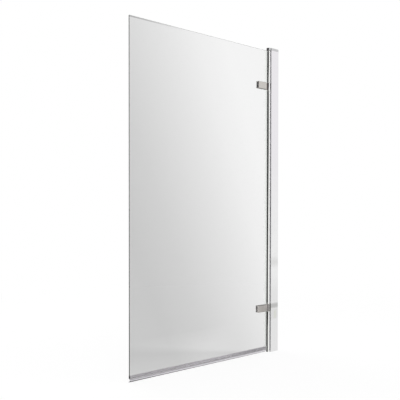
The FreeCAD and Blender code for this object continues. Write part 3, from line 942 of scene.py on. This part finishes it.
LOWER_PAINTED_LIGHT_AND_SHADE = (
    # Painted shade on the knuckle.
    Patch((0.26, 0.245, 0.24), 0.3, 0.4, x=(KNUCKLE, OPEN), fade=SOFT),
    # Painted shade on the casting in front of the nose.
    Patch((0.50, 0.49, 0.48), 0.2, 0.4, x=(NOSE, OPEN), y=NOSE_FRONT),
    # Painted light on the end of the back plate.
    Patch((0.70, 0.68, 0.67), 0.0, 0.5, x=(-OPEN, PLATE_END), y=BACK_PLATE),
    # Painted light on the end of the front plate.
    Patch((0.60, 0.57, 0.55), 0.0, 0.5, x=(-OPEN, PLATE_END), y=SHADED_FRONT),
    # Painted shade on the top of the front plate.
    Patch((0.20, 0.19, 0.18), 1.0, 0.3, x=(-OPEN, PLATE_ROOT), y=SHADED_FRONT,
          z=(220.0, OPEN)))
# Painted light on the ends of the back gaskets, behind the glass.
UPPER_RUBBER_PAINTED_LIGHT, LOWER_RUBBER_PAINTED_LIGHT = (
    (Patch(tone, 0.0, 0.5, x=(-OPEN, -118.0), y=(0.0, OPEN)),)
    for tone in (PLATE_END_PAINTED_LIGHT, (0.35, 0.34, 0.34)))
POST_PAINTED_LIGHT_AND_SHADE = (
    # Painted highlight on the front of the nose.
    Patch(NOSE_PAINTED_LIGHT, 0.0, 0.4, x=(NOSE, -47.3), y=NOSE_FRONT),
    # Painted reflection of the upper hinge, darker, on the back of the post.
    Patch((0.60, 0.59, 0.61), 0.0, 0.5, x=(-40.0, -20.0), y=(5.0, OPEN), z=(1190.0, 1260.0)))
CAP_PAINTED_SHADE = (
    # Painted shade on the front of the cap where it overhangs the nose.
    Patch((0.03, 0.028, 0.03), 0.0, 0.3, x=(-OPEN, -58.5), y=SHADED_FRONT, z=(-OPEN, 1399.0),
          fade=(0.6, 0.6, 0.3)),)
# Painted reflections on the channel's face: lavender high up, darker low and in marks.
CHANNEL_PAINTED_REFLECTIONS = tuple(
    Patch(tone, 1.0, roughness, x=x, y=(-OPEN, -8.0), z=z, fade=fade)
    for tone, roughness, x, z, fade in (
        ((0.88, 0.86, 0.89), 0.09, CHANNEL_FACE, (750.0, OPEN), (0.3, 0.3, 250.0)),
        ((0.83, 0.83, 0.83), 0.09, CHANNEL_FACE, (-OPEN, 310.0), (0.3, 0.3, 40.0)),
        (PAINTED_REFLECTION_TONE, 0.12, CHANNEL_FACE, (400.0, 430.0), (0.3, 0.3, 20.0)),
        (PAINTED_REFLECTION_TONE, 0.12, (-48.0, -0.5), (152.0, 200.0), (0.3, 0.3, 8.0)),
        ((0.74, 0.75, 0.70), 0.15, (-27.0, -12.0), (154.0, 190.0), (4.0, 0.3, 5.0)),
        ((0.56, 0.56, 0.555), 0.2, (-49.0, -0.5), (203.0, 224.0), (0.3, 0.3, 6.0))))
SIDE_SEAL_PAINTED_SHADE = (
    # Painted shade on the side seal by the nose, darker towards the bottom.
    Patch((0.68, 0.68, 0.675), 0.0, 0.0, x=(-65.5, OPEN), z=(-OPEN, 330.0),
          fade=(0.5, 0.3, 250.0)),)
BOTTOM_SEAL_PAINTED_SHADE = (
    # Painted shade on the legs of the bottom seal, darker towards the post.
    Patch((0.65, 0.64, 0.66), 0.0, 0.0, x=(-215.0, OPEN), z=(15.4, OPEN),
          fade=(115.0, 0.3, 0.5)),)


@dataclass
class WallSide:
    """The channel on the wall and its end cap."""

    channel_edge: float = 0.25 * MM
    cap_edge: float = 0.5 * MM

    def build(self) -> None:
        """Round and dress the channel and the cap."""
        dress("wall_channel", "channel_extrusion", Body.WALL,
              POLISHED_PROFILE.material(CHANNEL_PAINTED_REFLECTIONS), self.channel_edge)
        dress("top_cap", "end_cap", Body.WALL,
              PLATED_CAP.material(CAP_PAINTED_SHADE), self.cap_edge, FINE_STEPS)


@dataclass
class Post:
    """The sliding post with its adjusting screws, bushes and pins."""

    edge: float = 0.2 * MM
    screw_edge: float = 0.4 * MM
    pin_edge: float = 0.5 * MM

    def build(self) -> None:
        """Round and dress the pieces of the post."""
        dress("hinge_post", "post_extrusion", Body.POST,
              POST_PROFILE.material(POST_PAINTED_LIGHT_AND_SHADE), self.edge)
        steel, nylon = STAINLESS.material(), NYLON.material()
        dress("adjust_screws", "adjusting_screws", Body.POST, steel,
              self.screw_edge, FINE_STEPS)
        dress("pivot_pins", "hinge_pins", Body.POST, steel,
              self.pin_edge)
        for end in ("top", "bottom"):
            dress(end + "_bushes", end + "_nylon_bushes", Body.POST, nylon,
                  self.edge)


@dataclass
class Hinges:
    """The two clamp hinges: castings, back plates and the rubber on both sides of the glass."""

    nickel: dict[Level, Material]
    rubber: dict[Level, Material]
    edge: float = 0.35 * MM
    gasket_sheet: float = 1.0 * MM
    gasket_corner: float = 1.5 * MM
    corner_steps: int = 5
    gasket_edge: float = 0.25 * MM
    hole_from_end: float = 17.0 * MM
    screw_hole: float = 2.6 * MM
    hole_sides: int = 40
    cutter: float = 30.0 * MM
    collar: float = 4.9 * MM
    collar_root: float = 0.5 * MM
    collar_sides: int = 48

    def build(self) -> None:
        """Build the castings, and each gasket once for the lower hinge and again as a copy."""
        for level in Level:
            for node, name in (("_leaf", "_hinge_casting"), ("_back_plate", "_clamp_plate")):
                dress(level.value + node, level.value + name, Body.SCREEN,
                      self.nickel[level], self.edge, FINE_STEPS)
        for face in Face:
            below, above = (f"{level.value}_{face.value}_gasket" for level in Level)
            first = self.gasket(below, face)
            second = copy_of(first, above + "_pad")
            shift_ends(second, lambda place: True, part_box(above)[0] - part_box(below)[0])
            for level, piece, node in zip(Level, (first, second), (below, above)):
                seat(piece, Body.SCREEN, self.rubber[level], node)

    def gasket(self, node: str, face: Face) -> Piece:
        """Make one gasket: a sheet with rounded corners, and a collar on the back one.

        Args:
            node: CAD node whose place it takes.
            face: Side of the glass.

        Returns:
            The finished gasket.
        """
        low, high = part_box(node)
        front = high.y - self.gasket_sheet
        sheet = Vector((low.x, front, low.z))
        piece = start(node + "_pad", bpy.ops.mesh.primitive_cube_add, high - sheet,
                      size=1.0, location=(sheet + high) / 2)
        with editing(piece):
            pick_edges(piece, lambda a, b: near(a.x, b.x) and near(a.z, b.z))
            bpy.ops.mesh.bevel(offset=self.gasket_corner, segments=self.corner_steps,
                               affect="EDGES")
        hole = Vector((low.x + self.hole_from_end, (low.y + high.y) / 2,
                       (low.z + high.z) / 2))
        if face is Face.BACK:
            root = front + self.collar_root
            self.combine(piece, "UNION", self.collar_sides, self.collar, root - low.y,
                         Vector((hole.x, (root + low.y) / 2, hole.z)))
        self.combine(piece, "DIFFERENCE", self.hole_sides, self.screw_hole, self.cutter, hole)
        soften(piece, self.gasket_edge)
        return piece

    def combine(self, piece: Piece, operation: str, sides: int, radius: float,
                length: float, middle: Vector) -> None:
        """Join a level rod to a gasket, or cut it out.

        Args:
            piece: The gasket.
            operation: Kind of boolean.
            sides: Number of sides of the rod.
            radius: Its radius.
            length: Its length, along Y.
            middle: Its middle.
        """
        rod = start(piece.name + "_rod", bpy.ops.mesh.primitive_cylinder_add, vertices=sides,
                    radius=radius, depth=length, location=middle,
                    rotation=(math.pi / 2, 0.0, 0.0))
        apply_modifier(piece, "BOOLEAN", operation=operation, object=rod, solver="EXACT")
        bpy.data.objects.remove(rod)


@dataclass
class Panel:
    """The glass, which keeps its CAD solid, and the screws that clamp it."""

    head_edge: float = 0.3 * MM

    def build(self) -> None:
        """Dress the glass and round the heads of the clamp screws."""
        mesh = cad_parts["glass_panel"].data
        mesh.materials.clear()
        mesh.materials.append(GlassFinish().material(*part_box("glass_panel")))
        LOG.info("glass_panel keeps its solid")
        dress("clamp_screws", "clamping_screws", Body.SCREEN,
              STAINLESS.material(), self.head_edge, FINE_STEPS)


@dataclass
class SideSeals:
    """The bulb seal between the glass and the round nose, in three lengths."""

    nodes: tuple[str, ...] = ("side_seal_bottom", "side_seal_middle", "side_seal_top")
    gap: float = 0.1 * MM
    wall: float = 1.0 * MM
    lip: float = 0.7 * MM
    bulb_wall: float = 0.8 * MM
    bulb_root: float = 0.05 * MM
    bulb_edges: int = 40
    edge: float = 0.15 * MM
    tinted: float = 1.5 * MM

    def build(self) -> None:
        """Draw one length and copy it to the others, each trimmed between the hinges."""
        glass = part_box("glass_panel")[1].x
        vinyl = SIDE_VINYL.material(0, (glass, glass + self.tinted), SIDE_SEAL_PAINTED_SHADE)
        first_low, first_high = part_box(self.nodes[0])
        middle = (first_low.z + first_high.z) / 2
        first = self.length(self.nodes[0], glass)
        for node in self.nodes:
            piece = first
            if node != self.nodes[0]:
                low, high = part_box(node)
                piece = copy_of(first, node + "_extrusion")
                shift_ends(piece, lambda place: place.z > middle,
                           (0.0, 0.0, high.z - first_high.z))
                shift_ends(piece, lambda place: place.z < middle,
                           (0.0, 0.0, low.z - first_low.z))
            seat(piece, Body.SCREEN, vinyl, node)

    def length(self, node: str, glass: float) -> Piece:
        """Draw the profile and extrude it.

        Args:
            node: CAD node whose place it takes.
            glass: Edge of the glass in X.

        Returns:
            The finished length.
        """
        low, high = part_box(node)
        inner = high.y - self.wall
        floor = glass + self.gap
        back = floor + self.wall
        upright = (0.0, 0.0, high.z - low.z)
        piece = start_strip(node + "_extrusion", ((floor + back) / 2, 0.0, low.z),
                            (self.wall, 2 * inner))
        with editing(piece):
            draw_legs(piece, 0, inner, self.wall, floor, low.x, -self.lip)
            draw_out(upright)
        radius = (high.x - back) / 2 + self.bulb_root
        centre = (high.x - radius, 0.0, low.z)
        bulb = start(node + "_bulb", bpy.ops.mesh.primitive_circle_add,
                     vertices=self.bulb_edges, radius=radius, location=centre)
        with editing(bulb):
            bpy.ops.mesh.select_all(action="SELECT")
            bpy.ops.mesh.extrude_edges_move(TRANSFORM_OT_translate={"value": ORIGIN})
            share = (radius - self.bulb_wall) / radius
            bpy.ops.transform.resize(value=(share, share, 1.0), center_override=centre)
            draw_out(upright)
        activate(piece)
        bulb.select_set(True)
        bpy.ops.object.join()
        soften(piece, self.edge)
        return piece


@dataclass
class BottomSeal:
    """The channel under the glass and the blade that turns in over the bath."""

    # Heights of the bands of painted shade, in millimetres.
    shade_band_places: tuple[float, ...] = (2.0, 6.8, 7.6, 10.8, 11.6, 14.2, 15.0, 25.8, 26.8)
    wall: float = 1.2 * MM
    floor: float = 2.0 * MM
    bend: float = 6.3 * MM
    bend_steps: int = 10
    lip: float = 0.8 * MM
    joined: float = 0.01 * MM
    edge: float = 0.15 * MM

    def build(self) -> None:
        """Draw the profile, extrude it and seat it."""
        vinyl = BOTTOM_VINYL.material(2, [height * MM for height in self.shade_band_places],
                                      BOTTOM_SEAL_PAINTED_SHADE)
        low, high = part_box("bottom_seal")
        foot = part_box("glass_panel")[0].z
        outer = -low.y
        inner = outer - self.wall
        under = foot - self.floor
        start_of_bend = low.z + self.bend
        turn = self.bend - outer
        piece = start_strip("bottom_seal_extrusion", (low.x, 0.0, (foot + under) / 2),
                            (self.floor, 2 * inner), (0.0, math.pi / 2, 0.0))
        with editing(piece):
            draw_legs(piece, 2, inner, self.wall, foot, high.z, self.lip)
            push_edges(piece, edges_at(2, under, -1.0, inner - SLACK),
                       (0.0, 0.0, start_of_bend - under))
            pick_edges(piece, edges_at(2, start_of_bend))
            bpy.ops.mesh.spin(steps=self.bend_steps, angle=-math.pi / 2,
                              center=(low.x, turn, start_of_bend), axis=(1.0, 0.0, 0.0))
            push_edges(piece, edges_at(1, turn), (0.0, high.y - turn, 0.0))
            bpy.ops.mesh.select_all(action="SELECT")
            bpy.ops.mesh.remove_doubles(threshold=self.joined)
            draw_out((high.x - low.x, 0.0, 0.0))
        soften(piece, self.edge)
        seat(piece, Body.SCREEN, vinyl, "bottom_seal")


@dataclass
class Studio:
    """White background, pale floor and soft light."""

    levels: ClassVar[tuple[Span, ...]] = (
        (0.0, 0.92), (148.0, 0.90), (158.0, 0.04), (230.0, 0.04), (245.0, 1.0),
        (262.0, 1.04), (290.0, 0.93), (360.0, 0.92))
    lean: ClassVar[float] = 1.0
    lean_span: ClassVar[float] = 0.26
    lamps: tuple[tuple[str, Place, float, float], ...] = (
        ("key light", (-2.6, -3.0, 2.6), 2.4, 60.0),
        ("fill light", (1.6, -2.8, 1.9), 2.0, 28.0),
        ("back light", (-0.6, 2.8, 2.6), 2.4, 40.0))
    aim: Place = (-0.4, 0.0, 0.7)
    ambient: float = 0.72
    floor_side: float = 14.0
    floor_drop: float = 0.5 * MM
    floor_tone: float = 0.95
    shadow_share: float = 0.10
    shadow_reach: Span = (0.9, 2.4)
    middle: Place = (-0.0515, 0.0, 0.30)

    def build(self) -> None:
        """Set up the world, the floor and the lamps."""
        self.world()
        self.floor()
        for lamp in self.lamps:
            self.lamp(*lamp)

    def world(self) -> None:
        """White to the camera and through glass, the studio's surround in reflections."""
        world = bpy.data.worlds.new("studio")
        bpy.context.scene.world = world
        world.use_nodes = True
        tree = world.node_tree
        tree.nodes.clear()
        seen, mirrored = ray_kinds(tree)
        direction = tree.nodes.new("ShaderNodeTexCoord").outputs["Generated"]
        surround = effect(tree, Effect.SURROUND, {"Direction": direction})
        lit = blend(tree, mirrored, (self.ambient,) * 3, surround)
        light = add(tree, "ShaderNodeBackground", {"Color": blend(tree, seen, lit, WHITE)})
        add(tree, "ShaderNodeOutputWorld", {"Surface": light.outputs[0]})

    def floor(self) -> None:
        """Pale floor that shows the object's soft shadow and fades into the background."""
        floor = start_strip("studio_floor", (*self.middle[:2], -self.floor_drop),
                            (self.floor_side, self.floor_side))
        material = bpy.data.materials.new("pale floor")
        material.use_nodes = True
        tree = material.node_tree
        tree.nodes.clear()
        seen, mirrored = ray_kinds(tree)
        place = tree.nodes.new("ShaderNodeTexCoord").outputs["Object"]
        outward = add(tree, "ShaderNodeVectorMath", {0: place, 1: self.middle},
                      operation="SUBTRACT").outputs[0]
        away = add(tree, "ShaderNodeVectorMath", {0: outward}, operation="LENGTH")
        surround = effect(tree, Effect.SURROUND, {"Direction": outward})
        glow = add(tree, "ShaderNodeEmission", {"Color": blend(tree, seen, surround, WHITE)})
        pale = add(tree, "ShaderNodeBsdfDiffuse", {"Color": (*(self.floor_tone,) * 3, 1.0)})
        shown = span(tree, away.outputs["Value"], *self.shadow_reach,
                     1.0 - self.shadow_share, 1.0)
        share = calc(tree, "MAXIMUM", calc(tree, "MULTIPLY", seen, shown), mirrored)
        surface = add(tree, "ShaderNodeMixShader", {0: share, 1: pale.outputs[0],
                                                    2: glow.outputs[0]})
        add(tree, "ShaderNodeOutputMaterial", {"Surface": surface.outputs[0]})
        floor.data.materials.append(material)

    def lamp(self, name: str, place: Place, side: float, power: float) -> None:
        """Hang one soft square lamp that points at the middle of the screen.

        Args:
            name: Name of the lamp.
            place: Where it hangs.
            side: Length of its sides.
            power: Its power in watts.
        """
        light = bpy.data.lights.new(name, "AREA")
        light.size = side
        light.energy = power
        lamp = bpy.data.objects.new(name, light)
        bpy.context.scene.collection.objects.link(lamp)
        lamp.location = place
        aim = Vector(self.aim) - lamp.location
        lamp.rotation_euler = aim.to_track_quat("-Z", "Y").to_euler()
        lamp.visible_glossy = lamp.visible_transmission = lamp.visible_camera = False


@dataclass
class ViewPoint:
    """The camera of the photograph, found from the edges of the screen."""

    place: Place = (-1.9011, -1.7838, 0.6509)
    yaw: float = 39.00
    pitch: float = -0.711
    roll: float = 0.05
    lens: float = 49.68
    sensor: float = 36.0
    rise: float = 0.0446
    far: float = 50.0

    def build(self) -> None:
        """Add the camera and look through it."""
        data = bpy.data.cameras.new("camera")
        data.sensor_width = self.sensor
        data.lens = self.lens
        data.shift_y = self.rise
        data.clip_end = self.far
        camera = bpy.data.objects.new("camera", data)
        bpy.context.scene.collection.objects.link(camera)
        yaw, pitch, roll = (math.radians(value) for value in (self.yaw, self.pitch, self.roll))
        turn = (Matrix.Rotation(-yaw, 4, "Z") @ Matrix.Rotation(math.pi / 2 + pitch, 4, "X")
                @ Matrix.Rotation(roll, 4, "Z"))
        camera.matrix_world = Matrix.Translation(self.place) @ turn
        bpy.context.scene.camera = camera


def main() -> None:
    """Build the sub-assemblies, the studio and the camera in order."""
    logging.basicConfig(level=logging.INFO, format="%(name)s: %(message)s")
    scene = bpy.context.scene
    scene.view_settings.view_transform = "Standard"
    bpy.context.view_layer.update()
    WallSide().build()
    Post().build()
    Hinges({Level.LOWER: SPLASHED_AND_SHADED_NICKEL.material(LOWER_PAINTED_LIGHT_AND_SHADE),
            Level.UPPER: SATIN_NICKEL.material(UPPER_KNUCKLE_AND_PAINTED_LIGHT)},
           {Level.LOWER: GASKET_RUBBER.material(LOWER_RUBBER_PAINTED_LIGHT),
            Level.UPPER: GASKET_RUBBER.material(UPPER_RUBBER_PAINTED_LIGHT)}).build()
    Panel().build()
    SideSeals().build()
    BottomSeal().build()
    Studio().build()
    ViewPoint().build()


if __name__ == "__main__":
    main()
